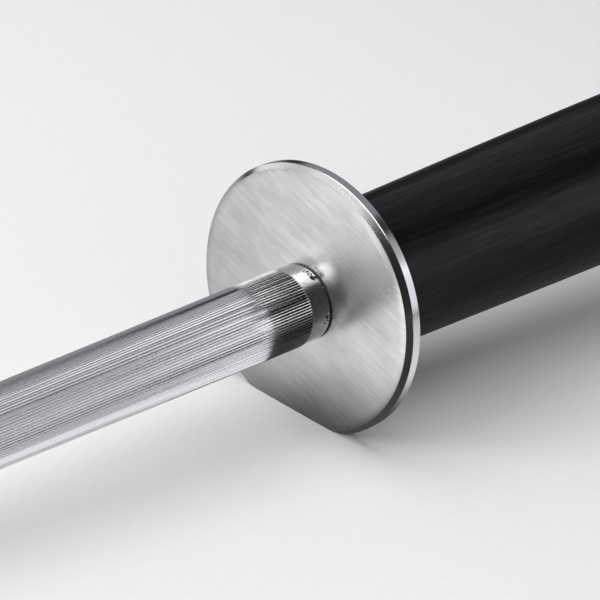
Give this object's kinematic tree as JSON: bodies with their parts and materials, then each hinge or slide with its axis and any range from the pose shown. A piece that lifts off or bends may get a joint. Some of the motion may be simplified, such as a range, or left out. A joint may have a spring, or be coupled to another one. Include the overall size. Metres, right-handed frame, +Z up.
{
  "type": "knife sharpening steel",
  "caption": "Hand-held knife sharpening steel: ribbed round rod, bevelled disc guard with a flat on its rim, black wooden grip and a hanging ring on a swivel at the butt.",
  "frame": {"origin": "centre of the guard's front face, on the rod's axis", "axes": "+X along the rod to its tip, +Z up and away from the flat on the guard's rim, +Y completes the frame"},
  "size_m": [0.3674, 0.0454, 0.0425],
  "materials": {
    "rod_steel": "ribbed, hard chromed and fine ground",
    "guard_steel": "straight brushed face, turned rim and bevel",
    "grip_wood": "black stained, oiled and buffed",
    "cap_steel": "turned",
    "ring_steel": "polished wire",
    "fastener_steel": "plain",
    "bush_brass": "turned",
    "seal_rubber": "moulded"
  },
  "bodies": {
    "steel": {"sharpening_rod": "rod_steel", "guard_disc": "guard_steel", "guard_pin_1": "fastener_steel", "guard_pin_2": "fastener_steel", "front_gasket": "seal_rubber", "front_bush": "bush_brass", "handle_grip": "grip_wood", "rear_bush": "bush_brass", "tang_washer": "fastener_steel", "spring_washer": "fastener_steel", "tang_nut": "fastener_steel", "butt_gasket": "seal_rubber", "butt_cap": "cap_steel", "cap_screw_1": "fastener_steel", "cap_screw_2": "fastener_steel", "cap_screw_3": "fastener_steel"},
    "swivel": {"swivel_eye": "cap_steel", "swivel_washer": "fastener_steel", "swivel_clip": "fastener_steel"},
    "ring": {"hanging_ring": "ring_steel"}
  },
  "joints": [
    {"name": "swivel_turn", "type": "hinge", "parent": "steel", "child": "swivel", "pos_m": [-0.1334, 0, 0], "axis": [1, 0, 0], "continuous": true},
    {"name": "ring_swing", "type": "hinge", "parent": "swivel", "child": "ring", "pos_m": [-0.1334, 0, 0], "axis": [0, 1, 0], "range_deg": [-24, 204]}
  ]
}
